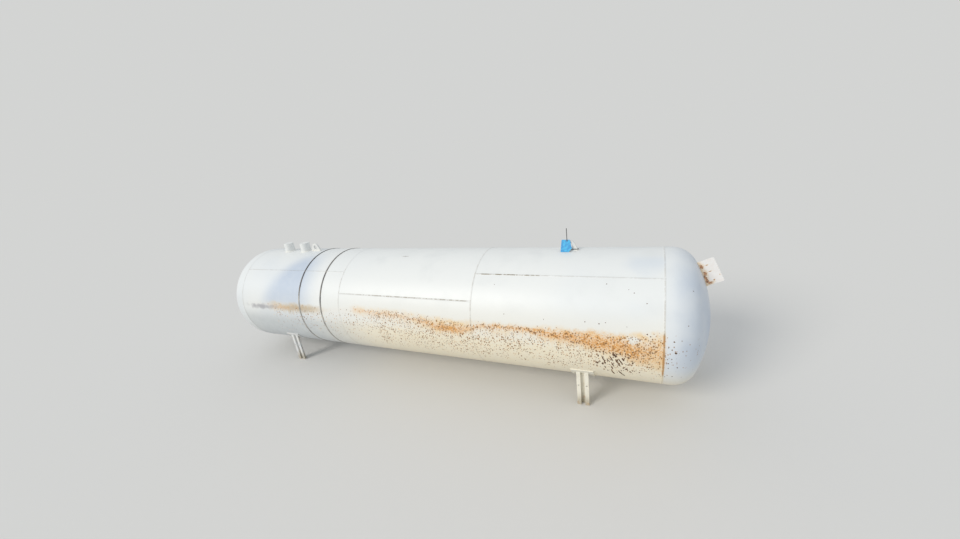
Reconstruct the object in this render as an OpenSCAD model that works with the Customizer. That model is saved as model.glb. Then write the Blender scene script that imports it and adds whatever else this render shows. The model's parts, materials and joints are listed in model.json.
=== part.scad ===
// Horizontal pressure tank: three rolled courses, two dished heads, four channel legs.
// Millimetres. X runs along the tank, -Y is the front, +Z is up.
// The origin is on the ground, under the middle of the overall length.

/* [Shell] */
// Outside diameter of the shell
shell_d = 1041; // [900:1:1250]
// Wall thickness of the courses and the heads
wall_t = 6.4; // [5:0.1:10]
// Distance between neighbouring girth welds
course_pitch = 1395; // [1200:5:1600]
// Clear height under the shell
ground_clearance = 120; // [80:5:300]

/* [Heads] */
// Straight flange between a head's weld and its knuckle
head_flange = 52; // [30:1:100]
// Inside crown radius as a fraction of the inside diameter
crown_ratio = 0.9; // [0.8:0.05:1]
// Inside knuckle radius as a fraction of the inside diameter
knuckle_ratio = 0.17; // [0.1:0.01:0.2]

/* [Welds] */
// Root gap of a butt weld
weld_gap = 3; // [1:0.5:5]
// Bevel on each plate edge, in degrees
weld_bevel = 30; // [15:5:37]
// Lap of a weld's cap onto the plate beside its groove
cap_lap = 2.5; // [1:0.5:4]
// Height of a weld's cap
cap_rise = 2; // [0.5:0.5:4]
// Root bead inside the shell
root_rise = 1; // [0.5:0.5:2]
// Leg length of the fillet welds
fillet = 8; // [5:1:12]
// Distance that a lug's fillet welds stop short of its ends
fillet_stop = 10; // [8:1:20]
// Azimuth of the left course's seam, from the top towards the front
left_seam_az = 38.2; // [30:0.1:75]
// Azimuth of the middle course's seam, from the top towards the front
middle_seam_az = 62.1; // [30:0.1:75]
// Azimuth of the right course's seam, from the top towards the front
right_seam_az = 36.2; // [30:0.1:75]

/* [Bands] */
// Distance of the left band from the left head's weld
left_band_x = 873; // [830:1:950]
// Distance of the right band from the left head's weld
right_band_x = 1164; // [1000:1:1180]
// Width of a band
band_w = 14; // [8:1:30]
// Thickness of a band
band_t = 3; // [2.5:0.5:5]

/* [Couplings] */
// Distance of the left coupling from the left head's weld
left_coupling_x = 334; // [250:1:400]
// Distance of the right coupling from the left head's weld
right_coupling_x = 584; // [540:1:610]
// Outside diameter of a coupling
coupling_d = 101.6; // [80:0.1:114]
// Bore of a coupling
coupling_bore_d = 84; // [60:0.5:90]
// Length of a coupling
coupling_l = 108; // [90:1:130]
// Height of a coupling above the top of the shell
coupling_rise = 87; // [60:1:100]
// Diameter of a plug's round head
plug_head_d = 98; // [92:0.5:100]
// Thickness of a plug's round head
plug_head_t = 5; // [3:0.5:10]
// Length of a plug below its head
plug_l = 30; // [15:1:45]
// Radial clearance round a plug
plug_clearance = 0.5; // [0.2:0.1:1]

/* [Lifting lugs] */
// Distance of the left lug from the left head's weld
left_lug_x = 742; // [714:1:790]
// Distance of the right lug from the right head's weld
right_lug_x = 677; // [500:1:760]
// Length of a lug's foot along the shell
lug_w = 136; // [110:1:140]
// Thickness of a lug
lug_t = 16; // [10:1:20]
// Height of the eye's centre above the top of the shell
lug_eye_z = 43; // [38:1:50]
// Diameter of the eye
lug_eye_d = 44; // [25:1:50]
// Outside radius of a lug round its eye
lug_r = 42; // [38:1:48]

/* [Legs] */
// Distance of the left legs' centre from the left head's weld
left_leg_x = 505; // [450:1:620]
// Distance of the right legs' centre from the right head's weld
right_leg_x = 552; // [450:1:620]
// Distance of a leg's outer face in from the side of the shell
leg_inset = 108.5; // [95:0.5:150]
// Width of a leg over its flanges
leg_w = 92; // [80:1:120]
// Depth of a leg
leg_depth = 36; // [25:1:60]
// Width of each outward flange
leg_flange = 30; // [24:1:32]
// Plate thickness of a leg
leg_t = 6; // [4:0.5:8]
// Diameter of the hole in each flange
leg_hole_d = 14; // [8:1:18]
// Height of the flange holes above the ground
leg_hole_z = 184; // [60:1:200]

/* [Saddle pads] */
// Width of a saddle pad along the shell
pad_w = 170; // [130:5:260]
// Thickness of a saddle pad
pad_t = 8; // [6:1:12]
// Azimuth of a pad's upper edge, from the top of the shell
pad_top_az = 125; // [118:0.5:126]
// Azimuth of a pad's lower edge, from the top of the shell
pad_bottom_az = 145; // [144:0.5:152]

/* [End plate] */
// Length of the plate that stands on the right head
end_plate_l = 190; // [120:1:220]
// Width of the plate, out from the head
end_plate_w = 108; // [60:1:140]
// Thickness of the plate
end_plate_t = 6; // [4:1:10]
// Radius of the plate's two outer corners
end_plate_corner = 8; // [3:1:20]
// Height of the plate's middle above the tank's axis
end_plate_z = 338; // [250:1:380]
// Rise of the plate's outward direction, in degrees
end_plate_tilt = 24.5; // [15:0.5:35]

/* [Tag] */
// Width of the tag on the right lug, above its cut corner
tag_w = 88; // [70:1:95]
// Height of the tag
tag_h = 98; // [80:1:100]
// Thickness of the tag
tag_t = 1.5; // [1:0.5:3]
// Angle at which the tag leans back towards the lug
tag_lean = 21; // [12:1:28]
// Offset of the tag's middle from the lug's, towards the left head
tag_shift = 23; // [18:0.5:28]
// Width by which the tag's left edge draws in towards its top
tag_taper_l = 7; // [1:1:10]
// Width by which the tag's right edge draws in towards its top
tag_taper_r = 16; // [4:1:20]
// Width of the corner cut off the tag at its lower right
tag_cut_w = 23; // [5:1:30]
// Height of the corner cut off the tag at its lower right
tag_cut_h = 30; // [5:1:40]
// Distance of the tag's hole below its top edge
tag_hole_drop = 9; // [8:1:14]
// Clearance between the tag and the tie behind it
tag_gap = 0.4; // [0.3:0.1:2]
// Clearance between the tag's lower edge and the shell
tag_lift = 0.5; // [0.3:0.1:3]
// Offset of the tie's tail from the lug's middle, towards the left head
tie_shift = 17; // [10:1:22]
// Clearance between the tie and the ends of the lug
tie_gap = 1; // [0.5:0.1:2]
// Width of the tie strap
tie_w = 5; // [3:0.5:8]
// Thickness of the tie strap
tie_t = 1.6; // [1:0.1:2.5]
// Length of the tie's free tail above the lug
tie_tail = 100; // [20:1:110]

/* [Hidden] */
$fn = 256;

paint = [0.93, 0.94, 0.93];
band_color = [0.2, 0.18, 0.17];
tag_color = [0.1, 0.42, 0.75];

shell_r = shell_d / 2;
bore_r = shell_r - wall_t;
axis_z = ground_clearance + shell_r;
crest_z = axis_z + shell_r;

// Dished head: a crown arc and a knuckle arc that meet on one tangent
crown_r = crown_ratio * 2 * bore_r;
knuckle_r = knuckle_ratio * 2 * bore_r;
crown_half = asin((bore_r - knuckle_r) / (crown_r - knuckle_r));
crown_back = (crown_r - knuckle_r) * cos(crown_half);
// Straight steps that draw each arc of the dish
knuckle_steps = 14;
crown_steps = 10;
head_rise = head_flange + crown_r + wall_t - crown_back;

// The tank's ends, so that the origin halves the overall length with the end plate
plate_foot = head_flange + crown_out(end_plate_z);
corner_out = end_plate_w - end_plate_corner;
corner_down = end_plate_l / 2 - end_plate_corner;
plate_reach = plate_foot + corner_out * cos(end_plate_tilt) + corner_down * sin(end_plate_tilt)
  + end_plate_corner;
plate_root = end_plate_w / 2;
shell_l = 3 * course_pitch;
left_end = (head_rise - shell_l - max(head_rise, plate_reach)) / 2;
right_end = left_end + shell_l;
left_girth = left_end + course_pitch;
right_girth = right_end - course_pitch;

// Butt weld's section: [along the plate, above the plate's outer face]
groove_half = weld_gap / 2 + wall_t * tan(weld_bevel);
cap_half = groove_half + cap_lap;
// Width of a cap's flat top as a fraction of the cap's width
cap_crown = 0.45;
weld_section = [[-weld_gap / 2, -wall_t - root_rise], [weld_gap / 2, -wall_t - root_rise],
  [weld_gap / 2, -wall_t], [groove_half, 0], [cap_half, 0], [cap_crown * cap_half, cap_rise],
  [-cap_crown * cap_half, cap_rise], [-cap_half, 0], [-groove_half, 0], [-weld_gap / 2, -wall_t]];

// Overshoot of the bodies that are cut away
trim = 2;

leg_y = shell_r - leg_inset;
leg_trim_r = shell_r + pad_t;
leg_top = axis_z - sqrt(pow(leg_trim_r, 2) - pow(leg_y, 2)) + trim;
left_leg = left_end + left_leg_x;
right_leg = right_end - right_leg_x;

// Lug: straight flanks that run from the foot's ends to the side of the eye's disc
left_lug = left_end + left_lug_x;
right_lug = right_end - right_lug_x;
flank_inset = 1;
flank_r = lug_r - flank_inset;
foot_half = lug_w / 2;
foot_reach = norm([foot_half, lug_eye_z]);
flank_l = sqrt(pow(foot_reach, 2) - pow(flank_r, 2));
flank_lean = atan2(lug_eye_z, -foot_half) - asin(flank_r / foot_reach);
flank_x = foot_half + flank_l * cos(flank_lean);
flank_z = flank_l * sin(flank_lean);

// Tag that stands on the shell and leans on the lug; the tie lies above the lug's weld and below its eye
lug_top = lug_eye_z + lug_r;
tag_l = -tag_shift - tag_w / 2;
tag_r = tag_l + tag_w;
tag_plane_y = -lug_t / 2 - tie_t - tag_gap - lug_top * tan(tag_lean);
tag_foot_z = sqrt(pow(shell_r, 2) - pow(tag_plane_y, 2)) - shell_r + tag_lift;
tag_foot_y = tag_plane_y + tag_foot_z * tan(tag_lean);
tag_hole_d = 2 * tie_w;
tag_hole_up = tag_h - tag_hole_drop;
tag_hole_y = tag_foot_y + tag_hole_up * sin(tag_lean);
tag_hole_z = tag_foot_z + tag_hole_up * cos(tag_lean);
tie_x = right_lug - tie_shift - tie_w / 2;
tie_z = fillet + tie_gap;
tie_half = foot_half - tie_z * (foot_half - flank_x) / flank_z + tie_gap;
tie_tail_y = tag_hole_y - tag_t / cos(tag_lean);
tie_top = lug_top + tie_tail;

// Points of the dish at an offset from its inner face, as [radius, distance from the flange]
function dish(offset) = concat(
  [for (i = [0:knuckle_steps]) let (a = (90 - crown_half) * i / knuckle_steps)
    [bore_r - knuckle_r + (knuckle_r + offset) * cos(a), (knuckle_r + offset) * sin(a)]],
  [for (i = [1:crown_steps]) let (a = crown_half * (1 - i / crown_steps))
    [(crown_r + offset) * sin(a), (crown_r + offset) * cos(a) - crown_back]]);

function reversed(list) = [for (i = [len(list) - 1:-1:0]) list[i]];

// Distance of the crown's outer face from the flange, at a height above the axis
function crown_out(z) = sqrt(pow(crown_r + wall_t, 2) - z * z) - crown_back;

// A section drawn looking along +X, its origin on the tank's axis, extruded from x
module section(x, length) {
  translate([x, 0, axis_z]) rotate([90, 0, 90]) linear_extrude(height = length) children();
}

// A section of [radius, distance along X] turned about the tank's axis
module turned(x) {
  translate([x, 0, axis_z]) rotate([0, 90, 0]) rotate_extrude() children();
}

module girth_bead(x) {
  turned(x) polygon([for (p = weld_section) [shell_r + p[1], p[0]]]);
}

module seam_bead(x, az) {
  section(x, course_pitch) rotate(az) polygon([for (p = weld_section) [p[0], shell_r + p[1]]]);
}

module shell_solid() {
  section(left_end, right_end - left_end) circle(r = shell_r);
}

module course(x, az) {
  difference() {
    section(x, course_pitch) difference() {
      circle(r = shell_r);
      circle(r = bore_r);
    }
    girth_bead(x);
    girth_bead(x + course_pitch);
    seam_bead(x, az);
  }
}

module seam_weld(x, az) {
  difference() {
    seam_bead(x, az);
    girth_bead(x);
    girth_bead(x + course_pitch);
  }
}

module head_wall() {
  polygon(concat([[shell_r, -head_flange]], dish(wall_t), reversed(dish(0)),
    [[bore_r, -head_flange]]));
}

module head_solid() {
  polygon(concat([[0, -head_flange], [shell_r, -head_flange]], dish(wall_t)));
}

// A head that closes the end towards +X, with its weld at X = 0
module head() {
  difference() {
    turned(head_flange) head_wall();
    girth_bead(0);
  }
}

module band(x) {
  difference() {
    turned(left_end + x) translate([shell_r, -band_w / 2]) square([band_t, band_w]);
    seam_bead(left_end, left_seam_az);
  }
}

module coupling(x) {
  translate([left_end + x, 0, crest_z + coupling_rise - coupling_l]) difference() {
    cylinder(d = coupling_d, h = coupling_l);
    translate([0, 0, -trim]) cylinder(d = coupling_bore_d, h = coupling_l + 2 * trim);
  }
}

module coupling_hole(x) {
  translate([left_end + x, 0, crest_z + coupling_rise - coupling_l]) cylinder(d = coupling_d, h = coupling_l);
}

// A fillet weld that runs down past the crest, cut to the shell
module coupling_weld(x) {
  difference() {
    translate([left_end + x, 0, crest_z]) rotate_extrude()
      polygon([[coupling_d / 2, -fillet], [coupling_d / 2 + 2 * fillet, -fillet], [coupling_d / 2, fillet]]);
    shell_solid();
  }
}

module coupling_plug(x) {
  top = crest_z + coupling_rise;
  translate([left_end + x, 0, top]) {
    translate([0, 0, -plug_l]) cylinder(d = coupling_bore_d - 2 * plug_clearance, h = plug_l + plug_head_t);
    cylinder(d = plug_head_d, h = plug_head_t);
  }
}

// Outline of a lug: a disc round the eye with straight flanks down to the foot
module lug_outline() {
  translate([0, lug_eye_z]) circle(r = lug_r);
  polygon([[-foot_half, -trim], [foot_half, -trim], [foot_half, 0], [flank_x, flank_z],
    [0, lug_eye_z], [-flank_x, flank_z], [-foot_half, 0]]);
}

module lifting_lug(x) {
  difference() {
    union() {
      translate([x, lug_t / 2, crest_z]) rotate([90, 0, 0]) linear_extrude(height = lug_t) difference() {
        lug_outline();
        translate([0, lug_eye_z]) circle(d = lug_eye_d);
      }
      section(x - lug_w / 2 + fillet_stop, lug_w - 2 * fillet_stop)
        polygon([[-lug_t / 2 - fillet - trim, shell_r - trim], [lug_t / 2 + fillet + trim, shell_r - trim],
          [lug_t / 2, shell_r + fillet], [-lug_t / 2, shell_r + fillet]]);
    }
    shell_solid();
  }
}

// Section of a saddle pad on the rear half, mirrored to the front
module saddle_pad(x, side) {
  reach = 2 * shell_r;
  section(x - pad_w / 2, pad_w) intersection() {
    difference() {
      circle(r = leg_trim_r);
      circle(r = shell_r);
    }
    polygon([[0, 0],
      [side * reach * sin(pad_top_az), reach * cos(pad_top_az)],
      [side * reach * sin(pad_bottom_az), reach * cos(pad_bottom_az)]]);
  }
}

// Plan of a leg: a channel that is open outwards, with a flange turned out on each side
module leg_plan() {
  half = leg_w / 2;
  slot = half - leg_flange;
  polygon([[-half, 0], [-slot, 0], [-slot, leg_depth - leg_t], [slot, leg_depth - leg_t], [slot, 0],
    [half, 0], [half, leg_t], [slot + leg_t, leg_t], [slot + leg_t, leg_depth],
    [-slot - leg_t, leg_depth], [-slot - leg_t, leg_t], [-half, leg_t]]);
}

// A leg at the front (side -1) or at the rear (side 1), cut to the saddle pad's outer face
module leg(x, side) {
  hole_x = (leg_w - leg_flange) / 2;
  turn = side < 0 ? 0 : 1;
  difference() {
    translate([x, 0, 0]) mirror([0, turn, 0]) translate([0, -leg_y, 0])
      linear_extrude(height = leg_top) leg_plan();
    section(x - leg_w / 2 - trim, leg_w + 2 * trim) circle(r = leg_trim_r);
    for (s = [-1, 1]) translate([x + s * hole_x, side * leg_y, leg_hole_z]) rotate([90, 0, 0])
      cylinder(d = leg_hole_d, h = 2 * (leg_t + trim), center = true);
  }
}

// Blank of the end plate, with a root inside the head and rounded outer corners
module end_plate_blank() {
  translate([-plate_root, -end_plate_l / 2]) square([plate_root + corner_out, end_plate_l]);
  translate([-plate_root, -corner_down]) square([plate_root + end_plate_w, 2 * corner_down]);
  for (s = [-1, 1]) translate([corner_out, s * corner_down]) circle(r = end_plate_corner);
}

module end_plate() {
  color(paint) difference() {
    translate([right_end + plate_foot, end_plate_t / 2, axis_z + end_plate_z]) rotate([90, 0, 0])
      linear_extrude(height = end_plate_t) rotate(end_plate_tilt) end_plate_blank();
    turned(right_end + head_flange) head_solid();
  }
}

module lug_tag() {
  color(tag_color) translate([right_lug, tag_foot_y, crest_z + tag_foot_z]) rotate([90 - tag_lean, 0, 0])
    linear_extrude(height = tag_t) difference() {
      polygon([[tag_l, 0], [tag_r - tag_cut_w, 0], [tag_r, tag_cut_h], [tag_r - tag_taper_r, tag_h],
        [tag_l + tag_taper_l, tag_h]]);
      translate([-tie_shift, tag_hole_up]) circle(d = tag_hole_d);
    }
}

// The tie: a strap loop round the lug, with a tail that rises, passes through the tag's hole
// towards the front and stands up free
module tag_tie() {
  lug_face = -lug_t / 2;
  color("black") translate([0, 0, crest_z]) {
    translate([right_lug, 0, tie_z]) linear_extrude(height = tie_w) difference() {
      square([2 * (tie_half + tie_t), lug_t + 2 * tie_t], center = true);
      square([2 * tie_half, lug_t], center = true);
    }
    translate([tie_x, 0, 0]) rotate([90, 0, 90]) linear_extrude(height = tie_w)
      polygon([[lug_face, tie_z], [lug_face, tag_hole_z + tie_t / 2], [tie_tail_y, tag_hole_z + tie_t / 2],
        [tie_tail_y, tie_top], [tie_tail_y - tie_t, tie_top], [tie_tail_y - tie_t, tag_hole_z - tie_t / 2],
        [lug_face - tie_t, tag_hole_z - tie_t / 2], [lug_face - tie_t, tie_z]]);
  }
}

module left_course() {
  color(paint) difference() {
    course(left_end, left_seam_az);
    coupling_hole(left_coupling_x);
    coupling_hole(right_coupling_x);
  }
}

module middle_course() { color(paint) course(left_girth, middle_seam_az); }
module right_course() { color(paint) course(right_girth, right_seam_az); }
module left_head() { color(paint) translate([left_end, 0, 0]) mirror([1, 0, 0]) head(); }
module right_head() { color(paint) translate([right_end, 0, 0]) head(); }
module left_head_weld() { color(paint) girth_bead(left_end); }
module left_girth_weld() { color(paint) girth_bead(left_girth); }
module right_girth_weld() { color(paint) girth_bead(right_girth); }
module right_head_weld() { color(paint) girth_bead(right_end); }
module left_seam_weld() { color(paint) seam_weld(left_end, left_seam_az); }
module middle_seam_weld() { color(paint) seam_weld(left_girth, middle_seam_az); }
module right_seam_weld() { color(paint) seam_weld(right_girth, right_seam_az); }
module left_band() { color(band_color) band(left_band_x); }
module right_band() { color(band_color) band(right_band_x); }
module left_coupling() { color(paint) coupling(left_coupling_x); }
module right_coupling() { color(paint) coupling(right_coupling_x); }
module left_coupling_weld() { color(paint) coupling_weld(left_coupling_x); }
module right_coupling_weld() { color(paint) coupling_weld(right_coupling_x); }
module left_coupling_plug() { color(paint) coupling_plug(left_coupling_x); }
module right_coupling_plug() { color(paint) coupling_plug(right_coupling_x); }
module left_lifting_lug() { color(paint) lifting_lug(left_lug); }
module right_lifting_lug() { color(paint) lifting_lug(right_lug); }
module front_left_saddle_pad() { color(paint) saddle_pad(left_leg, -1); }
module front_right_saddle_pad() { color(paint) saddle_pad(right_leg, -1); }
module rear_left_saddle_pad() { color(paint) saddle_pad(left_leg, 1); }
module rear_right_saddle_pad() { color(paint) saddle_pad(right_leg, 1); }
module front_left_leg() { color(paint) leg(left_leg, -1); }
module front_right_leg() { color(paint) leg(right_leg, -1); }
module rear_left_leg() { color(paint) leg(left_leg, 1); }
module rear_right_leg() { color(paint) leg(right_leg, 1); }

left_course();
middle_course();
right_course();
left_head();
right_head();
left_head_weld();
left_girth_weld();
right_girth_weld();
right_head_weld();
left_seam_weld();
middle_seam_weld();
right_seam_weld();
left_band();
right_band();
left_coupling();
right_coupling();
left_coupling_weld();
right_coupling_weld();
left_coupling_plug();
right_coupling_plug();
left_lifting_lug();
right_lifting_lug();
front_left_saddle_pad();
front_right_saddle_pad();
rear_left_saddle_pad();
rear_right_saddle_pad();
front_left_leg();
front_right_leg();
rear_left_leg();
rear_right_leg();
end_plate();
lug_tag();
tag_tie();
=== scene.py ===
"""Looks of the horizontal pressure tank: weathered white paint, a low rust band, dark bands, a blue tag."""

import json
import math
import random

import bmesh
import bpy
from mathutils import Matrix, Vector


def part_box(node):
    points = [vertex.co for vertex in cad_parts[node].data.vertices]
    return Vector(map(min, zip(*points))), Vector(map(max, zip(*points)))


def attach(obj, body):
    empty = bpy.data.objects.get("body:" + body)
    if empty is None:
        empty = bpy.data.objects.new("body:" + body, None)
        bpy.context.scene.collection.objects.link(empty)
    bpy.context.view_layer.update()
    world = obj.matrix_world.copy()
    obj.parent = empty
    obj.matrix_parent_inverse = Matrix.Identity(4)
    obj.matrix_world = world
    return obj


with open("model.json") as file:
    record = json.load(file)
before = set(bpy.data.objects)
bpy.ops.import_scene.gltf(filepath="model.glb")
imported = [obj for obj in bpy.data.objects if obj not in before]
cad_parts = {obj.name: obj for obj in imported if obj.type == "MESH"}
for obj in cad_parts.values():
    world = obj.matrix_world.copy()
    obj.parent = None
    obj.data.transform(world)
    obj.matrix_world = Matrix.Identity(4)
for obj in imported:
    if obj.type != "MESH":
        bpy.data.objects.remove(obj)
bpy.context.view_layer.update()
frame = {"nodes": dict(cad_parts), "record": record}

# Places on the tank in metres, worked out from the frame's boxes
course_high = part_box("left_course")[1]
SHELL_R = course_high.y
CREST_Z = course_high.z
AXIS_Z = CREST_Z - SHELL_R
LEFT_END, LEFT_GIRTH = (corner.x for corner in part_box("left_seam_weld"))
RIGHT_GIRTH, RIGHT_END = (corner.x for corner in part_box("right_seam_weld"))
BETWEEN_BANDS = (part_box("left_band")[1].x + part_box("right_band")[0].x) / 2
DEGREE_ARC = math.radians(1.0) * SHELL_R

# As in the part's source: the heads' straight flange and knuckle, the end plate's foot and its slope
FLANGE = 0.052
KNUCKLE_R = 0.1812
PLATE_FOOT = (2.3075, 0.9785)
PLATE_TILT = math.radians(24.5)

# Paint and dirt, and colours that stand in for painted shade and bounce light
WHITE = (0.79, 0.80, 0.785)
LUG_WHITE = (0.77, 0.77, 0.745)
WARM = (0.80, 0.785, 0.72)
# Painted blue shade, towards both ends and in a patch near the right end
COOL_SHADE = (0.60, 0.66, 0.73)
# Painted blue shade on the right head and a painted shadow on the left course
SHADE = (0.43, 0.51, 0.64)
GREY = (0.66, 0.68, 0.68)
# Cream: a stain, and on the belly and low on the right head also painted bounce light
CREAM = (0.86, 0.775, 0.59)
# Grime that is also painted shade, low on the left head and under the left course
GRIME_AND_SHADE = (0.49, 0.52, 0.53)
DIRT = (0.33, 0.32, 0.34)
SEAM_DIRT = (0.25, 0.21, 0.15)
RING_DIRT = (0.34, 0.28, 0.2)

# Rust, from its haze to its pits
PEACH = (0.80, 0.60, 0.35)
ORANGE_LIGHT = (0.74, 0.375, 0.11)
ORANGE = (0.58, 0.25, 0.06)
TAN = (0.42, 0.36, 0.26)
BROWN = (0.24, 0.115, 0.05)
PIT = (0.07, 0.045, 0.03)
CHIP_RIM = (0.22, 0.125, 0.065)

# Spots and finer dots in and under the rust band: the two ends of each kind's colours
SPOTS = ((0.17, 0.085, 0.035), (0.32, 0.16, 0.06))
DOTS = ((0.64, 0.28, 0.07), (0.14, 0.08, 0.04))
HEAD_DOTS = ((0.40, 0.21, 0.09), (0.11, 0.08, 0.06))
PALE_DOT = (0.84, 0.64, 0.42)

# Legs and end plate
LEFT_LEG = (0.72, 0.73, 0.735)
RIGHT_LEG = (0.82, 0.785, 0.68)
LEG_STAIN = (0.66, 0.62, 0.51)
SOIL = (0.34, 0.29, 0.19)
PLATE_PAINT = (0.85, 0.83, 0.81)
PLATE_STAIN = (0.82, 0.74, 0.69)
PLATE_RUST = ((0.21, 0.085, 0.05), (0.60, 0.27, 0.12))

# Band steel and plastic
STEEL = (0.05, 0.05, 0.058)
STEEL_BROWN = (0.10, 0.075, 0.055)
STEEL_BLOOM = (0.16, 0.09, 0.05)
STEEL_RUBBED = (0.47, 0.45, 0.41)
TAG_BLUE = ((0.03, 0.29, 0.62), (0.055, 0.47, 0.78))
TIE_BLACK = ((0.012, 0.012, 0.013), (0.03, 0.03, 0.032))
SCUFF = (0.5, 0.56, 0.62)

# Profiles along the tank, as (metres along X, value), drawn after the photograph
TANK_SPAN = (-2.5, 2.5)
# The share of painted blue shade along the tank, strongest at both ends
COOL_SHADE_SHARE = [(-2.5, 0.5), (-1.9, 0.45), (-1.5, 0.6), (-1.15, 0.3), (-0.6, 0.08), (1.1, 0.06),
              (1.4, 0.25), (1.7, 0.6), (2.05, 0.7), (2.5, 0.7)]

# The rust band's edges and the middle of its core, in degrees from the crest towards the front
BAND_RANGE = (70, 120)
BAND_TOP = [(-2.5, 80), (-1.66, 77.5), (-1.05, 78.5), (-0.65, 77), (-0.48, 75), (-0.3, 76), (0.0, 77),
            (0.3, 80), (0.65, 80.5), (1.6, 80.5), (1.8, 81), (1.92, 79), (2.05, 78), (2.5, 78)]
BAND_LOW = [(-2.5, 85), (-1.05, 85), (-0.5, 83.5), (-0.2, 86), (0.0, 88), (0.2, 91), (0.38, 95),
            (0.55, 94), (0.66, 91), (0.75, 88), (0.9, 91), (1.05, 88), (1.22, 90), (1.32, 93), (1.5, 95),
            (1.6, 98), (1.75, 99), (1.85, 105), (1.95, 108), (2.05, 110), (2.5, 110)]
CORE_MIDDLE = [(-2.5, 81), (-1.05, 81), (-0.48, 78.5), (-0.3, 80), (0.0, 81.5), (0.2, 84), (0.45, 89),
               (0.66, 86), (0.8, 83), (1.2, 84), (1.35, 85.5), (1.5, 86.5), (1.62, 88), (1.72, 89),
               (1.8, 90), (1.9, 95), (2.05, 93), (2.5, 93)]

# Half the core's width in degrees
CORE_HALF_RANGE = (0, 20)
CORE_HALF = [(-2.5, 2), (-0.5, 3), (0.0, 2.2), (0.2, 3), (0.45, 4.8), (0.66, 4), (0.8, 2.6), (1.2, 3.8),
             (1.35, 5.5), (1.5, 7), (1.62, 8.5), (1.8, 9.5), (1.9, 11), (2.05, 12), (2.5, 12)]

# How strong the haze and the core are, and how crowded the dots are
SHARE_RANGE = (0, 1)
HAZE_SHARE = [(-2.5, 0), (-1.8, 0.08), (-1.62, 0.7), (-1.3, 0.8), (-1.0, 0.35), (-0.75, 0.04),
              (-0.6, 0.1), (-0.48, 0.55), (-0.3, 0.55), (-0.1, 0.5), (0.1, 0.65), (0.3, 0.9),
              (0.45, 1.0), (0.66, 0.8), (0.8, 0.65), (1.1, 0.7), (1.3, 0.9), (1.5, 1.0),
              (2.05, 1.0), (2.5, 1.0)]
CORE_SHARE = [(-2.5, 0), (-1.75, 0.02), (-1.58, 0.5), (-1.36, 0.5), (-1.2, 0.25), (-0.85, 0.04),
              (-0.6, 0.05), (-0.48, 0.45), (-0.2, 0.35), (0.0, 0.4), (0.15, 0.55), (0.3, 0.75),
              (0.45, 1.0), (0.62, 0.7), (0.8, 0.6), (1.2, 0.75), (1.35, 0.95), (1.6, 1.0),
              (1.82, 1.0), (1.93, 0.72), (2.05, 0.55), (2.5, 0.5)]
CROWD_RANGE = (0, 1.2)
CROWD_SHARE = [(-2.5, 0), (-1.75, 0.05), (-1.6, 0.3), (-1.2, 0.3), (-0.7, 0.28), (-0.34, 0.45),
               (-0.25, 1.0), (0.08, 0.95), (0.3, 0.8), (0.8, 0.9), (1.3, 0.9), (1.62, 0.9), (1.9, 1.1),
               (2.05, 1.1), (2.075, 0.3), (2.25, 0.1), (2.5, 0)]

# Dirt along each lengthwise weld, and round each ring weld as (degrees from the crest, strength)
SEAM_LINES = {
    "left_seam_weld": [(-2.5, 0.25), (-0.75, 0.2), (-0.7, 0.0), (2.5, 0.0)],
    "middle_seam_weld": [(-2.5, 0.0), (-0.78, 0.0), (-0.72, 0.25), (-0.4, 0.55), (0.0, 0.8), (0.55, 0.75),
                         (0.64, 0.3), (0.68, 0.0), (2.5, 0.0)],
    "right_seam_weld": [(-2.5, 0.0), (0.64, 0.0), (0.68, 0.5), (0.75, 1.0), (1.12, 0.95), (1.28, 0.3),
                        (2.05, 0.22), (2.5, 0.2)],
}
RING_LINES = {
    LEFT_GIRTH: [(-180, 0.1), (30, 0.15), (40, 0.35), (64, 0.3), (90, 0.1), (180, 0.1)],
    RIGHT_GIRTH: [(-180, 0.1), (0, 0.35), (60, 0.4), (100, 0.3), (180, 0.1)],
    LEFT_END: [(-180, 0.1), (60, 0.2), (80, 0.3), (100, 0.2), (180, 0.1)],
    RIGHT_END: [(-180, 0.1), (30, 0.3), (76, 0.45), (79, 1.0), (112, 1.0), (120, 0.4), (180, 0.1)],
}

# How far a dirt line reaches from its weld's middle, in metres
DIRT_LINE = 0.0045

# Where the rust on the right head's weld starts and ends, in degrees from the crest
WELD_RUST_TOP = (77.0, 80.0)
WELD_RUST_LOW = (113.0, 119.0)

# Single patches: x in metres, degrees from the crest, half width in metres and half height in degrees
# A patch of painted blue shadow near the right end
COOL_SHADOW_PATCH = (1.97, 20.0, 0.17, 14.0)
BARE_PATCH = (1.87, 84.0, 0.05, 3.4)
SMUDGE = (-1.84, 82.8, 0.22, 3.4)

# Wear is fainter on the back: degrees over which it changes, its strength there and in front
BACK_FADE = (-40.0, 40.0, 0.4, 1.0)


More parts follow.
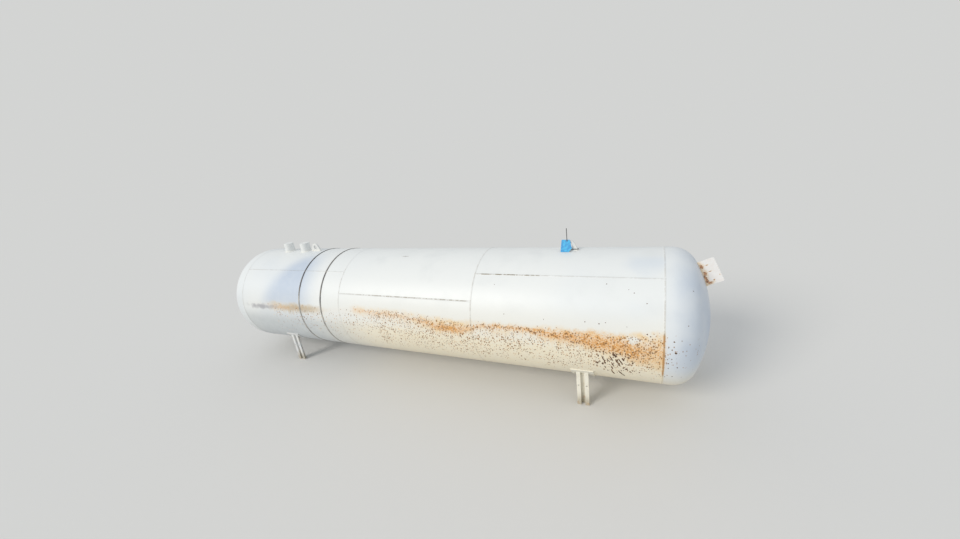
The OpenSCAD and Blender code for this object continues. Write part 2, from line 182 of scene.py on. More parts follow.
class Graph:
    """A small hand for building one material's nodes."""

    def __init__(self, name):
        self.mat = bpy.data.materials.new(name)
        self.mat.use_nodes = True
        self.tree = self.mat.node_tree
        self.shader = self.tree.nodes["Principled BSDF"]
        self.coords = self.tree.nodes.new("ShaderNodeTexCoord").outputs["Object"]
        split = self.tree.nodes.new("ShaderNodeSeparateXYZ")
        self.link(self.coords, split.inputs[0])
        self.x, self.y, self.z = split.outputs

    def link(self, source, socket):
        self.tree.links.new(source, socket)

    def put(self, socket, value):
        """Link a value that comes from a node, or write a plain number or colour."""
        if isinstance(value, bpy.types.NodeSocket):
            self.link(value, socket)
        elif isinstance(value, tuple) and len(value) == 3 and len(socket.default_value) == 4:
            socket.default_value = (*value, 1.0)
        else:
            socket.default_value = value

    def math(self, operation, *values, clamp=False):
        node = self.tree.nodes.new("ShaderNodeMath")
        node.operation = operation
        node.use_clamp = clamp
        for socket, value in zip(node.inputs, values):
            self.put(socket, value)
        return node.outputs[0]

    def add(self, first, second):
        return self.math("ADD", first, second)

    def sub(self, first, second):
        return self.math("SUBTRACT", first, second)

    def mul(self, first, second):
        return self.math("MULTIPLY", first, second)

    def most(self, first, second):
        return self.math("MAXIMUM", first, second)

    def sway(self, noise, amount):
        """A noise as a shift either way, by up to half the amount."""
        return self.mul(self.sub(noise, 0.5), amount)

    def step(self, value, low, high, bottom=0.0, top=1.0):
        """Smooth step from bottom to top as value goes from low to high."""
        node = self.tree.nodes.new("ShaderNodeMapRange")
        node.interpolation_type = "SMOOTHSTEP"
        for socket, setting in zip(node.inputs, (value, low, high, bottom, top)):
            self.put(socket, setting)
        return node.outputs[0]

    def curve(self, value, span, points, bottom, top):
        """A smooth curve through (value, result) points."""
        low, high = span
        node = self.tree.nodes.new("ShaderNodeFloatCurve")
        line = node.mapping.curves[0]
        spots = [((at - low) / (high - low), (result - bottom) / (top - bottom)) for at, result in points]
        line.points[0].location = spots[0]
        line.points[1].location = spots[-1]
        for spot in spots[1:-1]:
            line.points.new(*spot)
        node.mapping.update()
        share = self.math("DIVIDE", self.sub(value, low), high - low, clamp=True)
        self.link(share, node.inputs[1])
        return self.math("MULTIPLY_ADD", node.outputs[0], top - bottom, bottom)

    def along(self, points, limits):
        """A profile along the tank."""
        return self.curve(self.x, TANK_SPAN, points, *limits)

    def noise(self, scale, detail, rough, vector=None):
        node = self.tree.nodes.new("ShaderNodeTexNoise")
        self.put(node.inputs["Vector"], vector or self.coords)
        node.inputs["Scale"].default_value = scale
        node.inputs["Detail"].default_value = detail
        node.inputs["Roughness"].default_value = rough
        return node.outputs["Fac"]

    def cells(self, scale, vector):
        """Distance to the nearest point, and two random numbers for each cell."""
        node = self.tree.nodes.new("ShaderNodeTexVoronoi")
        self.put(node.inputs["Vector"], vector)
        node.inputs["Scale"].default_value = scale
        split = self.tree.nodes.new("ShaderNodeSeparateColor")
        self.link(node.outputs["Color"], split.inputs[0])
        return node.outputs["Distance"], split.outputs[0], split.outputs[1]

    def tall(self, share):
        """Coordinates in which every pattern is drawn out upwards."""
        node = self.tree.nodes.new("ShaderNodeMapping")
        self.link(self.coords, node.inputs[0])
        node.inputs["Scale"].default_value = (1.0, 1.0, share)
        return node.outputs[0]

    def mix(self, share, first, second):
        node = self.tree.nodes.new("ShaderNodeMix")
        node.data_type = "RGBA"
        self.put(node.inputs[0], share)
        self.put(node.inputs[6], first)
        self.put(node.inputs[7], second)
        return node.outputs[2]

    def point(self, across, up):
        """A flat place, such as one on the unrolled shell."""
        node = self.tree.nodes.new("ShaderNodeCombineXYZ")
        self.put(node.inputs[0], across)
        self.put(node.inputs[1], up)
        return node.outputs[0]

    def away(self, place, across, up, wide, high):
        """Distance from the middle of a mark: 1 at the edge of its ellipse."""
        node = self.tree.nodes.new("ShaderNodeMapping")
        self.link(place, node.inputs[0])
        node.inputs["Scale"].default_value = (1 / wide, 1 / high, 1)
        node.inputs["Location"].default_value = (-across / wide, -up / high, 0)
        distance = self.tree.nodes.new("ShaderNodeVectorMath")
        distance.operation = "LENGTH"
        self.link(node.outputs[0], distance.inputs[0])
        return distance.outputs["Value"]

    def nearest(self, distances):
        least = distances[0]
        for distance in distances[1:]:
            least = self.math("MINIMUM", least, distance)
        return least

    def azimuth(self):
        """Degrees from the crest of the shell towards the front, negative towards the back."""
        turn = self.math("ARCTAN2", self.mul(self.y, -1.0), self.sub(self.z, AXIS_Z))
        return self.mul(turn, 180.0 / math.pi)

    def bump(self, height, strength, distance):
        node = self.tree.nodes.new("ShaderNodeBump")
        node.inputs["Strength"].default_value = strength
        node.inputs["Distance"].default_value = distance
        self.link(height, node.inputs["Height"])
        self.link(node.outputs[0], self.shader.inputs["Normal"])

    def finish(self, color, rough, metallic=0.0):
        self.put(self.shader.inputs["Base Color"], color)
        self.put(self.shader.inputs["Roughness"], rough)
        self.shader.inputs["Metallic"].default_value = metallic
        return self.mat


class ShellGraph(Graph):
    """A graph with the angle round the shell and one noise for each size of mark."""

    def __init__(self, name):
        super().__init__(name)
        self.turn = self.azimuth()
        self.az = self.math("ABSOLUTE", self.turn)
        self.front = self.step(self.turn, *BACK_FADE)
        self.grit = self.noise(150.0, 3.0, 0.6)
        self.fine = self.noise(68.0, 4.0, 0.6)
        self.middle = self.noise(19.0, 3.0, 0.55)
        self.wide = self.noise(5.0, 3.0, 0.5)
        self.broad = self.noise(1.3, 2.0, 0.5)
        self.place = self.point(self.x, self.turn)


def clean_paint(g):
    """White paint with painted blue shade towards both ends, and grey clouds."""
    cool_shade = g.mul(g.along(COOL_SHADE_SHARE, SHARE_RANGE), g.step(g.broad, 0.36, 0.66, 0.15, 0.85))
    color = g.mix(cool_shade, WHITE, COOL_SHADE)
    return g.mix(g.step(g.wide, 0.5, 0.8, 0.0, 0.3), color, GREY)


def tint_heads(g, color):
    """Painted shade on the right head, strongest at mid height, with cream under it that is partly painted
    bounce light, and grime low on the left head that is partly painted shade.
    """
    # Painted blue shade on the right head's middle height, patchy
    shade = g.mul(g.step(g.z, 0.32, 0.70, 0.0, 1.0), g.step(g.z, 0.98, 1.14, 1.0, 0.55))
    patchy = g.step(g.add(g.broad, g.sway(g.wide, 0.6)), 0.3, 0.7, 0.34, 0.66)
    shade = g.mul(g.mul(shade, g.step(g.x, 2.0, 2.2)), patchy)
    color = g.mix(shade, color, SHADE)
    # Cream low on the right head: partly stain, partly painted bounce light
    cream = g.mul(g.step(g.z, 0.16, 0.52, 0.85, 0.0), g.step(g.x, 0.0, 1.0))
    color = g.mix(cream, color, CREAM)
    # Grime low on the left head, partly painted shade
    grime_and_shade = g.step(g.add(g.z, g.sway(g.broad, 0.3)), 0.3, 0.95, 0.6, 0.0)
    return g.mix(g.mul(g.step(g.x, -2.3, -2.05, 1.0, 0.0), grime_and_shade), color, GRIME_AND_SHADE)


def tint_courses(g, color):
    """Painted shadow on the left course, a painted blue shade patch near the right end, and a belly in grime
    and cream that is partly painted shade and bounce light.
    """
    # Painted shadow on the left course, with a slanted left edge and a soft right edge
    slanted = g.sub(g.x, g.mul(g.sub(78.0, g.az), 0.0062))
    right_edge = g.step(g.add(g.x, g.sway(g.broad, 0.2)), -1.3, -1.0, 1.0, 0.0)
    shade = g.mul(g.step(slanted, -1.93, -1.68), right_edge)
    shade = g.mul(shade, g.mul(g.step(g.turn, 5.0, 32.0), g.step(g.az, 73.0, 81.0, 1.0, 0.3)))
    color = g.mix(g.mul(shade, g.add(0.54, g.mul(g.middle, 0.3))), color, SHADE)
    # A painted blue shadow patch near the right end
    patch = g.add(g.away(g.place, *COOL_SHADOW_PATCH), g.sway(g.wide, 1.2))
    color = g.mix(g.step(patch, 0.2, 1.2, 0.5, 0.0), color, COOL_SHADE)
    flank = g.mul(g.step(g.az, 56.0, 80.0), g.step(g.x, -1.2, 0.0, 0.2, 0.75))
    color = g.mix(flank, color, WARM)
    # The belly: grime on the left that is partly painted shade, cream on the right that is partly painted
    # bounce light
    belly = g.mul(g.step(g.az, 83.0, 102.0), g.step(g.x, -1.0, 0.2, 0.75, 1.0))
    belly_color = g.mix(g.step(g.x, -1.2, -0.3), GRIME_AND_SHADE, CREAM)
    return g.mix(g.mul(belly, g.add(0.6, g.mul(g.middle, 0.5))), color, belly_color)


def band_kept(g, head):
    """Where the rust band stays: all but one bare patch, and on the heads only the rim by the weld."""
    if head:
        return g.step(g.x, RIGHT_END + 0.0073, RIGHT_END + 0.0283, 0.25, 0.0)
    ragged = g.add(g.sway(g.middle, 1.6), g.sway(g.fine, 2.2))
    bare = g.step(g.add(g.away(g.place, *BARE_PATCH), ragged), 0.4, 1.5, 1.0, 0.0)
    return g.sub(1.0, g.mul(bare, 0.85))


def rust_band(g, color, head):
    """A peach haze with a grainy orange core that wanders up and down along the tank."""
    level = g.add(g.az, g.add(g.sway(g.wide, 4.0), g.sway(g.middle, 5.0)))
    drip = g.sway(g.noise(60.0, 2.0, 0.5, g.tall(0.12)), 12.0)
    top = g.along(BAND_TOP, BAND_RANGE)
    low = g.along(BAND_LOW, BAND_RANGE)
    keep = g.mul(band_kept(g, head), g.front)

    haze = g.mul(g.step(level, g.sub(top, 4.0), g.add(top, 2.5)),
                 g.step(g.add(level, drip), g.sub(low, 4.0), g.add(low, 4.0), 1.0, 0.0))
    haze = g.mul(g.mul(haze, g.along(HAZE_SHARE, SHARE_RANGE)), keep)

    off = g.math("ABSOLUTE", g.sub(g.add(level, g.mul(drip, 0.4)), g.along(CORE_MIDDLE, BAND_RANGE)))
    core = g.step(g.math("DIVIDE", off, g.along(CORE_HALF, CORE_HALF_RANGE)), 0.1, 1.3, 1.0, 0.0)
    core = g.mul(g.mul(core, g.along(CORE_SHARE, SHARE_RANGE)), keep)

    grain = g.add(g.sway(g.fine, 2.6), g.add(g.sway(g.grit, 1.8), g.sway(g.middle, 0.8)))
    rust = g.mul(g.step(g.add(g.mul(core, 0.75), grain), 0.45, 0.85), g.step(core, 0.03, 0.25))
    cloudy = g.step(g.add(g.grit, g.sub(g.middle, 0.5)), 0.28, 0.72, 0.3, 1.0)
    color = g.mix(g.mul(haze, cloudy), color, PEACH)
    color = g.mix(g.mul(core, g.step(g.grit, 0.36, 0.64, 0.2, 0.98)), color, ORANGE_LIGHT)
    color = g.mix(g.mul(rust, 0.85), color, g.mix(g.step(g.grit, 0.35, 0.62), ORANGE, ORANGE_LIGHT))
    if not head:
        # On the left the haze is dulled towards tan, partly stain and partly painted shade
        tan = g.mul(g.step(g.x, -1.0, -0.8, 0.8, 0.0), g.step(g.x, -1.6, -1.3, 0.45, 1.0))
        color = g.mix(g.mul(haze, tan), color, TAN)
    return color, rust, core, top


def freckles(g, color, core, top, head):
    """Brown spots and finer dots through and under the band."""
    crowd = g.mul(g.step(g.az, g.sub(top, 3.0), g.add(top, 3.0)), g.step(g.az, 104.0, 131.0, 1.0, 0.0))
    crowd = g.mul(crowd, g.along(CROWD_SHARE, CROWD_RANGE))
    patchy = g.step(g.add(g.wide, g.sway(g.middle, 0.6)), 0.3, 0.6, 0.4, 1.0)
    crowd = g.mul(g.mul(crowd, g.front), patchy)
    tall = g.tall(0.72)

    near, size, chance = g.cells(52.0, tall)
    inside = g.step(near, g.add(0.08, g.mul(size, 0.16)), g.add(0.20, g.mul(size, 0.26)), 1.0, 0.0)
    spot = g.mul(inside, g.step(g.sub(g.math("MULTIPLY_ADD", crowd, 1.05, -0.2), chance), 0.0, 0.05))

    near, shade, chance = g.cells(98.0, tall)
    inside = g.step(g.sub(near, g.mul(core, 0.12)), 0.24, 0.5, 1.0, 0.0)
    dot = g.mul(inside, g.step(g.sub(g.mul(crowd, 0.9), chance), 0.0, 0.08))
    if head:
        dot_color = g.mix(shade, *HEAD_DOTS)
    else:
        dot_color = g.mix(g.step(shade, 0.26, 0.34), PALE_DOT, g.mix(shade, *DOTS))
    color = g.mix(g.mul(dot, 0.9), color, dot_color)
    return g.mix(spot, color, g.mix(size, *SPOTS)), spot


def seam_angle(node):
    """Degrees from the crest towards the front at a lengthwise weld."""
    low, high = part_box(node)
    middle = (low + high) / 2
    return math.degrees(math.atan2(-middle.y, middle.z - AXIS_Z))


def weld_dirt(g, color):
    """Thin dirt lines along the beads, and rust low on the right head's weld."""
    patchy = g.step(g.add(g.fine, g.sway(g.middle, 1.2)), 0.3, 0.62, 0.25, 1.0)
    for node, strength in SEAM_LINES.items():
        off = g.mul(g.math("ABSOLUTE", g.sub(g.turn, seam_angle(node))), DEGREE_ARC)
        line = g.mul(g.step(off, DIRT_LINE * 0.5, DIRT_LINE * 1.5, 1.0, 0.0), g.along(strength, SHARE_RANGE))
        color = g.mix(g.mul(line, patchy), color, SEAM_DIRT)
    for ring, strength in RING_LINES.items():
        off = g.math("ABSOLUTE", g.sub(g.x, ring))
        around = g.curve(g.turn, (-180, 180), strength, *SHARE_RANGE)
        line = g.mul(g.step(off, DIRT_LINE * 0.5, DIRT_LINE * 1.5, 1.0, 0.0), around)
        color = g.mix(g.mul(line, patchy), color, RING_DIRT)
    on_weld = g.step(g.math("ABSOLUTE", g.sub(g.x, RIGHT_END)), 0.003, 0.010, 1.0, 0.0)
    reach = g.mul(g.step(g.turn, *WELD_RUST_TOP), g.step(g.turn, *WELD_RUST_LOW, 1.0, 0.0))
    broken = g.step(g.add(g.fine, g.sway(g.middle, 0.8)), 0.32, 0.58, 0.15, 0.85)
    return g.mix(g.mul(g.mul(on_weld, reach), broken), color, g.mix(g.fine, BROWN, ORANGE_LIGHT))


def shell_material(name, head=False, weld=False):
    """White paint with painted shade at the ends, a low rust band, dots in and under it, and a cream belly
    that is partly painted bounce light.
    """
    g = ShellGraph(name)
    tint = tint_heads if head else tint_courses
    color, rust, core, top = rust_band(g, tint(g, clean_paint(g)), head)
    color, spot = freckles(g, color, core, top, head)
    smudge = g.add(g.away(g.place, *SMUDGE), g.sway(g.middle, 1.8))
    color = g.mix(g.step(smudge, 0.2, 1.3, 0.75, 0.0), color, DIRT)
    if weld:
        color = weld_dirt(g, color)
    scar = g.most(rust, spot)
    orange_peel = g.mul(g.noise(220.0, 2.0, 0.5), 0.10)
    g.bump(g.add(orange_peel, g.mul(g.sub(g.grit, 0.5), g.mul(scar, 0.8))), 0.35, 0.002)
    return g.finish(color, g.add(g.add(0.38, g.mul(g.middle, 0.12)), g.mul(scar, 0.4)))


def fitting_material(name, paint, rusty):
    """White paint on small steel pieces, with rust in its chips and at its foot."""
    g = Graph(name)
    fine = g.noise(95.0, 4.0, 0.6)
    middle = g.noise(28.0, 3.0, 0.55)
    color = g.mix(g.step(middle, 0.4, 0.7, 0.0, 0.35), paint, GREY)
    foot = g.step(g.z, CREST_Z + 0.004, CREST_Z + 0.022, 0.10, 0.0)
    worn = g.add(g.add(fine, g.sway(middle, 0.8)), foot)
    rust = g.step(worn, 0.80 - 0.3 * rusty, 0.90 - 0.3 * rusty)
    color = g.mix(g.mul(foot, 1.2), color, CREAM)
    color = g.mix(g.mul(rust, 0.8), color, g.mix(fine, BROWN, ORANGE_LIGHT))
    g.bump(g.sub(g.mul(fine, 0.3), g.mul(rust, 0.4)), 0.4, 0.0015)
    return g.finish(color, g.add(0.42, g.mul(rust, 0.35)))


def leg_material(name):
    """Stained white paint with soil and rust that climb from the ground."""
    g = Graph(name)
    fine = g.noise(85.0, 4.0, 0.6)
    middle = g.noise(20.0, 3.0, 0.55)
    paint = g.mix(g.step(g.x, -1.0, 1.0), LEFT_LEG, RIGHT_LEG)
    color = g.mix(g.step(middle, 0.4, 0.7, 0.0, 0.5), paint, LEG_STAIN)
    soil = g.mul(g.step(g.add(g.z, g.sway(middle, 0.09)), 0.01, 0.13, 1.0, 0.0), 0.7)
    color = g.mix(soil, color, SOIL)
    rust = g.step(g.add(g.add(fine, g.sway(middle, 0.8)), g.mul(soil, 0.2)), 0.70, 0.82)
    color = g.mix(g.mul(rust, 0.8), color, g.mix(fine, BROWN, ORANGE_LIGHT))
    g.bump(g.sub(g.mul(fine, 0.3), g.mul(rust, 0.4)), 0.4, 0.002)
    return g.finish(color, g.add(0.45, g.mul(rust, 0.35)))


# Scabs on the end plate: metres out from its foot and up along it, half width and half height
PLATE_SCABS = [(0.014, 0.056, 0.016, 0.019), (0.018, 0.002, 0.013, 0.024), (0.008, -0.050, 0.013, 0.040),
               (0.020, -0.078, 0.022, 0.012), (0.052, 0.004, 0.012, 0.003), (0.046, 0.055, 0.010, 0.004),
               (0.052, -0.066, 0.006, 0.005), (0.098, -0.040, 0.004, 0.003)]


def plate_material(name):
    """White plate with rust along its weld and a few scabs."""
    g = Graph(name)
    fine = g.noise(120.0, 4.0, 0.6)
    middle = g.noise(40.0, 3.0, 0.55)
    from_foot_x, from_foot_z = g.sub(g.x, PLATE_FOOT[0]), g.sub(g.z, PLATE_FOOT[1])
    cosine, sine = math.cos(PLATE_TILT), math.sin(PLATE_TILT)
    out = g.add(g.mul(from_foot_x, cosine), g.mul(from_foot_z, sine))
    up = g.sub(g.mul(from_foot_z, cosine), g.mul(from_foot_x, sine))
    place = g.point(out, up)
    color = g.mix(g.step(middle, 0.42, 0.7, 0.0, 0.4), PLATE_PAINT, PLATE_STAIN)
    ragged = g.add(g.sway(fine, 1.6), g.sway(middle, 1.6))
    spread = g.add(g.nearest([g.away(place, *scab) for scab in PLATE_SCABS]), ragged)
    foot = g.step(g.add(out, g.sway(middle, 0.03)), 0.002, 0.034, 0.75, 0.0)
    color = g.mix(g.most(g.step(spread, 0.6, 1.7, 0.7, 0.0), foot), color, PEACH)
    rust = g.step(spread, 0.45, 1.0, 1.0, 0.0)
    color = g.mix(g.mul(rust, 0.88), color, g.mix(g.step(fine, 0.4, 0.6), *PLATE_RUST))
    g.bump(g.sub(g.mul(fine, 0.3), g.mul(rust, 0.5)), 0.4, 0.0015)
    return g.finish(color, g.add(0.42, g.mul(rust, 0.35)))


def band_material(name):
    """Dark weathered strap steel with rust bloom, rubbed paler low on each band."""
    g = Graph(name)
    turn = g.azimuth()
    fine = g.noise(120.0, 4.0, 0.6)
    middle = g.noise(16.0, 3.0, 0.55)
    color = g.mix(g.step(middle, 0.45, 0.65, 0.0, 0.8), STEEL, STEEL_BROWN)
    color = g.mix(g.step(fine, 0.6, 0.72, 0.0, 0.4), color, STEEL_BLOOM)
    on_right = g.step(g.x, BETWEEN_BANDS - 0.05, BETWEEN_BANDS + 0.05)
    rubbed = g.mix(on_right, g.step(turn, 56.0, 72.0, 0.15, 0.95), g.step(turn, 68.0, 90.0, 0.3, 0.95))
    rubbed = g.mul(rubbed, g.step(g.add(middle, g.sway(fine, 0.8)), 0.25, 0.6, 0.45, 1.1))
    color = g.mix(rubbed, color, STEEL_RUBBED)
    g.bump(fine, 0.4, 0.001)
    return g.finish(color, g.add(0.5, g.mul(fine, 0.3)), 0.2)


def plastic_material(name, colors, rough):
    """Moulded plastic with a faint mottle and scuffs."""
    g = Graph(name)
    fine = g.noise(160.0, 3.0, 0.55)
    middle = g.noise(45.0, 2.0, 0.5)
    color = g.mix(g.step(middle, 0.35, 0.65), *colors)
    scuff = g.step(g.noise(70.0, 4.0, 0.7, g.tall(0.15)), 0.66, 0.74, 0.0, 0.3)
    color = g.mix(scuff, color, SCUFF)
    g.bump(fine, 0.25, 0.0006)
    return g.finish(color, g.add(rough, g.mul(fine, 0.12)))


def scab_material(name, dark, light):
    """Rough rust with lighter grains."""
    g = Graph(name)
    fine = g.noise(180.0, 4.0, 0.65)
    g.bump(fine, 0.6, 0.001)
    return g.finish(g.mix(g.step(fine, 0.4, 0.65), dark, light), 0.85)


LOOKS = {
    "shell_paint": shell_material("shell_paint_look"),
    "head_paint": shell_material("head_paint_look", head=True),
    "weld_paint": shell_material("weld_paint_look", weld=True),
    "fitting_paint": fitting_material("fitting_paint_look", WHITE, 0.05),
    "lug_paint": fitting_material("lug_paint_look", LUG_WHITE, 0.15),
    "leg_paint": leg_material("leg_paint_look"),
    "plate_paint": plate_material("plate_paint_look"),
    "band_steel": band_material("band_steel_look"),
    "tag_plastic": plastic_material("tag_plastic_look", TAG_BLUE, 0.38),
    "tie_plastic": plastic_material("tie_plastic_look", TIE_BLACK, 0.45),
}
for part in frame["record"]["subparts"]:
    solid = frame["nodes"][part["node"]]
    solid.material_slots[0].material = LOOKS[part["material_slot"]]

# Chips in the paint, as (x in metres, degrees from the crest towards the front, radius in metres)
CHIPS = [(0.85, 46, 0.003), (1.69, 42, 0.004), (1.87, 48.5, 0.0035), (1.835, 46, 0.0025),
         (1.95, 56, 0.0035), (0.95, 71, 0.0035), (1.26, 73, 0.003), (1.555, 72.5, 0.004),
         (1.65, 73.2, 0.0045), (1.692, 72, 0.0035), (1.955, 78.5, 0.005), (1.976, 80, 0.0045),
         (1.83, 74, 0.0025), (2.115, 82.5, 0.0055), (2.128, 91.5, 0.008), (2.083, 87.5, 0.0035),
         (2.103, 89, 0.003), (2.105, 97, 0.004), (2.086, 101.5, 0.005), (2.141, 105, 0.0045),
         (2.088, 106.5, 0.004), (2.115, 116.5, 0.004), (2.194, 70.5, 0.0035), (2.223, 43.5, 0.0035)]

# A scratch near the crest: x, degrees, half length and half width in metres, slant in degrees
SCRATCH = (-0.123, 14.0, 0.040, 0.0026, -2)

# Scabs low on the right course: x, degrees, half width in metres, half height and slant in degrees
SCABS = [(1.628, 109.0, 0.010, 1.3, 0), (1.672, 103.5, 0.005, 3.2, -20), (1.668, 109.6, 0.008, 1.4, 0),
         (1.684, 108.0, 0.007, 1.8, -15), (1.702, 104.6, 0.004, 1.6, -10), (1.728, 102.6, 0.005, 3.0, -24),
         (1.745, 98.6, 0.011, 1.5, 0), (1.759, 99.8, 0.008, 1.2, 0), (1.735, 109.2, 0.005, 2.8, -20),
         (1.765, 106.0, 0.005, 2.8, -26), (1.779, 109.0, 0.005, 2.6, -22), (1.791, 105.4, 0.005, 2.8, -28),
         (1.806, 102.4, 0.007, 1.8, -25), (1.730, 114.2, 0.005, 1.8, -18), (1.786, 121.0, 0.006, 3.4, -24),
         (1.803, 124.5, 0.005, 2.6, -24), (1.733, 121.5, 0.005, 3.4, -20), (1.829, 114.2, 0.004, 1.8, -25),
         (1.852, 117.4, 0.005, 1.8, -28), (1.683, 114.0, 0.004, 1.6, -15), (1.64, 101.0, 0.005, 1.2, 0)]

# Smaller scabs scattered round them: how many, the middle of their cloud and how wide it spreads
SMALL_SCABS = 44
CLOUD_X, CLOUD_AZ = 1.76, 96.0
CLOUD_WIDE, CLOUD_DOWN = 0.065, 12.0

# A mark's outline has this many points, each moved in or out by up to this share
MARK_POINTS = 14
MARK_RAGGED = 0.28

# How far a mark's rim lies under the shell's face, and how far its middle rises over it
MARK_SUNK = 0.0006
CHIP_RISE = 0.0006
SCAB_RISE = 0.0012

# Seeds of the random draws
CLOUD_SEED = 21
CHIP_SEED = 5
SCAB_SEED = 11


def small_scabs():
    """The cloud of smaller scabs, the same on each run."""
    draw = random.Random(CLOUD_SEED)
    return [(draw.gauss(CLOUD_X, CLOUD_WIDE), CLOUD_AZ + abs(draw.gauss(0.0, CLOUD_DOWN)),
             draw.uniform(0.0028, 0.0048), draw.uniform(0.5, 1.2), draw.uniform(-32, -6))
            for _ in range(SMALL_SCABS)]


def outside(x):
    """Radius of the shell's outer face, also on a head's knuckle."""
    past = abs(x - (LEFT_END + RIGHT_END) / 2) - (RIGHT_END - LEFT_END) / 2 - FLANGE
    if past <= 0:
        return SHELL_R
    return SHELL_R - KNUCKLE_R + math.sqrt(KNUCKLE_R ** 2 - past ** 2)


def mark_ring(bm, draw, place, share, high):
    """One ragged ring of a mark, at a share of its size and at a height over the shell."""
    x, az, half_x, half_arc, slant = place
    lean = math.radians(slant)
    ring = []
    for i in range(MARK_POINTS):
        angle = 2 * math.pi * i / MARK_POINTS
        reach = share * (1 + draw.uniform(-MARK_RAGGED, MARK_RAGGED))
        wide, tall = reach * half_x * math.cos(angle), reach * half_arc * math.sin(angle)
        along = wide * math.cos(lean) - tall * math.sin(lean)
        down = wide * math.sin(lean) + tall * math.cos(lean)
        radius = outside(x + along) + high
        turn = math.radians(az) + down / SHELL_R
        ring.append(bm.verts.new((x + along, -radius * math.sin(turn), AXIS_Z + radius * math.cos(turn))))
    return ring


def marks(name, places, look, rise, seed):
    """Low ragged marks that sit on the shell, with rims just under its face."""
    draw = random.Random(seed)
    bm = bmesh.new()
    for place in places:
        rings = [mark_ring(bm, draw, place, share, high)
                 for share, high in ((1.0, -MARK_SUNK), (0.82, rise * 0.7), (0.4, rise))]
        for outer, inner in zip(rings, rings[1:]):
            for i in range(MARK_POINTS):
                j = (i + 1) % MARK_POINTS
                bm.faces.new((outer[i], outer[j], inner[j], inner[i]))
        bm.faces.new(rings[-1])
    bmesh.ops.recalc_face_normals(bm, faces=bm.faces)
    mesh = bpy.data.meshes.new(name)
    bm.to_mesh(mesh)
    bm.free()
    mesh.shade_smooth()
    mesh.materials.append(look)
    piece = bpy.data.objects.new(name, mesh)
    bpy.context.scene.collection.objects.link(piece)
    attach(piece, "root")


chip_places = [(x, az, radius, radius, 0) for x, az, radius in CHIPS]
scab_places = [(x, az, half, tall * DEGREE_ARC, slant) for x, az, half, tall, slant in SCABS + small_scabs()]
marks("paint_chips", chip_places + [SCRATCH], scab_material("chip_look", PIT, CHIP_RIM), CHIP_RISE, CHIP_SEED)
marks("rust_scabs", scab_places, scab_material("scab_look", PIT, BROWN), SCAB_RISE, SCAB_SEED)

# Floor and light: one broad sun and an even sky, so the floor is one tone away from the shadow
FLOOR = (0.70, 0.69, 0.67)
FLOOR_R = 300.0
SKY = (0.91, 0.955, 1.0)
SKY_LEVEL = 0.73
SUN = (1.0, 0.965, 0.90)
SUN_LEVEL = 1.60
SUN_SPREAD = math.radians(24)
SUN_WAY = Vector((0.52, 0.82, -0.60)).normalized()

# The backdrop is as light as the floor is under this sun and sky, so no horizon shows
SUN_SHARE = SUN_LEVEL * -SUN_WAY.z / math.pi
BACKDROP = [floor * (sun * SUN_SHARE + sky * SKY_LEVEL) for floor, sun, sky in zip(FLOOR, SUN, SKY)]


def make_floor():
    """A plain pale floor without gloss."""
    bpy.ops.mesh.primitive_circle_add(vertices=96, radius=FLOOR_R, fill_type="NGON", location=(0, 0, 0))
    floor = bpy.context.object
    floor.name = "floor"
    look = bpy.data.materials.new("floor_look")
    look.use_nodes = True
    shader = look.node_tree.nodes["Principled BSDF"]
    shader.inputs["Base Color"].default_value = (*FLOOR, 1)
    shader.inputs["Roughness"].default_value = 1.0
    shader.inputs["Specular IOR Level"].default_value = 0.0
    floor.data.materials.append(look)


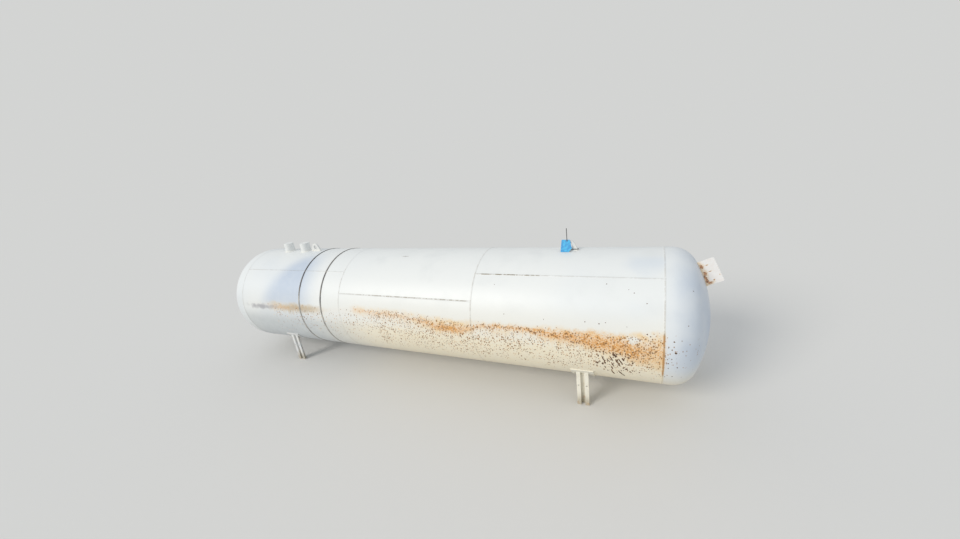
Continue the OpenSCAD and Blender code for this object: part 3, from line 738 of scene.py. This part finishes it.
def make_world():
    """An even sky that lights the scene, and the backdrop's colour for what the camera and gloss see."""
    scene = bpy.context.scene
    scene.world = scene.world or bpy.data.worlds.new("world")
    scene.world.use_nodes = True
    tree = scene.world.node_tree
    tree.nodes.clear()

    def background(color, strength):
        node = tree.nodes.new("ShaderNodeBackground")
        node.inputs["Color"].default_value = (*color, 1)
        node.inputs["Strength"].default_value = strength
        return node.outputs[0]

    path = tree.nodes.new("ShaderNodeLightPath")
    seen = path.outputs["Is Camera Ray"]
    for ray in ("Is Glossy Ray", "Is Transmission Ray"):
        either = tree.nodes.new("ShaderNodeMath")
        either.operation = "MAXIMUM"
        tree.links.new(seen, either.inputs[0])
        tree.links.new(path.outputs[ray], either.inputs[1])
        seen = either.outputs[0]
    pick = tree.nodes.new("ShaderNodeMixShader")
    tree.links.new(seen, pick.inputs[0])
    tree.links.new(background(SKY, SKY_LEVEL), pick.inputs[1])
    tree.links.new(background(BACKDROP, 1.0), pick.inputs[2])
    surface = tree.nodes.new("ShaderNodeOutputWorld")
    tree.links.new(pick.outputs[0], surface.inputs["Surface"])


def make_sun():
    """One broad soft sun from behind the camera's left shoulder."""
    data = bpy.data.lights.new("sun", "SUN")
    data.energy = SUN_LEVEL
    data.angle = SUN_SPREAD
    data.color = SUN
    sun = bpy.data.objects.new("sun", data)
    sun.rotation_euler = SUN_WAY.to_track_quat("-Z", "Y").to_euler()
    bpy.context.scene.collection.objects.link(sun)


# The camera, fitted to the photograph's frame of 960 by 539: where it stands and how it looks
PHOTO_WIDE_PX = 960
FOCAL_PX = 372.41
SENSOR_MM = 36.0
EYE = (1.94666, -2.86595, 2.10855)
VIEW_RIGHT = Vector((0.912086, 0.38865, -0.130579))
VIEW_DOWN = Vector((0.019211, -0.358646, -0.933276))
VIEW_FORWARD = Vector((-0.409549, 0.848719, -0.334582))


def make_camera():
    """The photograph's camera."""
    data = bpy.data.cameras.new("camera")
    data.sensor_width = SENSOR_MM
    data.sensor_fit = "HORIZONTAL"
    data.lens = FOCAL_PX / PHOTO_WIDE_PX * SENSOR_MM
    data.clip_start = 0.05
    data.clip_end = FLOOR_R
    camera = bpy.data.objects.new("camera", data)
    facing = Matrix((VIEW_RIGHT, -VIEW_DOWN, -VIEW_FORWARD)).transposed().to_4x4()
    camera.matrix_world = Matrix.Translation(EYE) @ facing
    bpy.context.scene.collection.objects.link(camera)
    bpy.context.scene.camera = camera


make_floor()
make_world()
make_sun()
make_camera()
bpy.context.scene.view_settings.view_transform = "Standard"
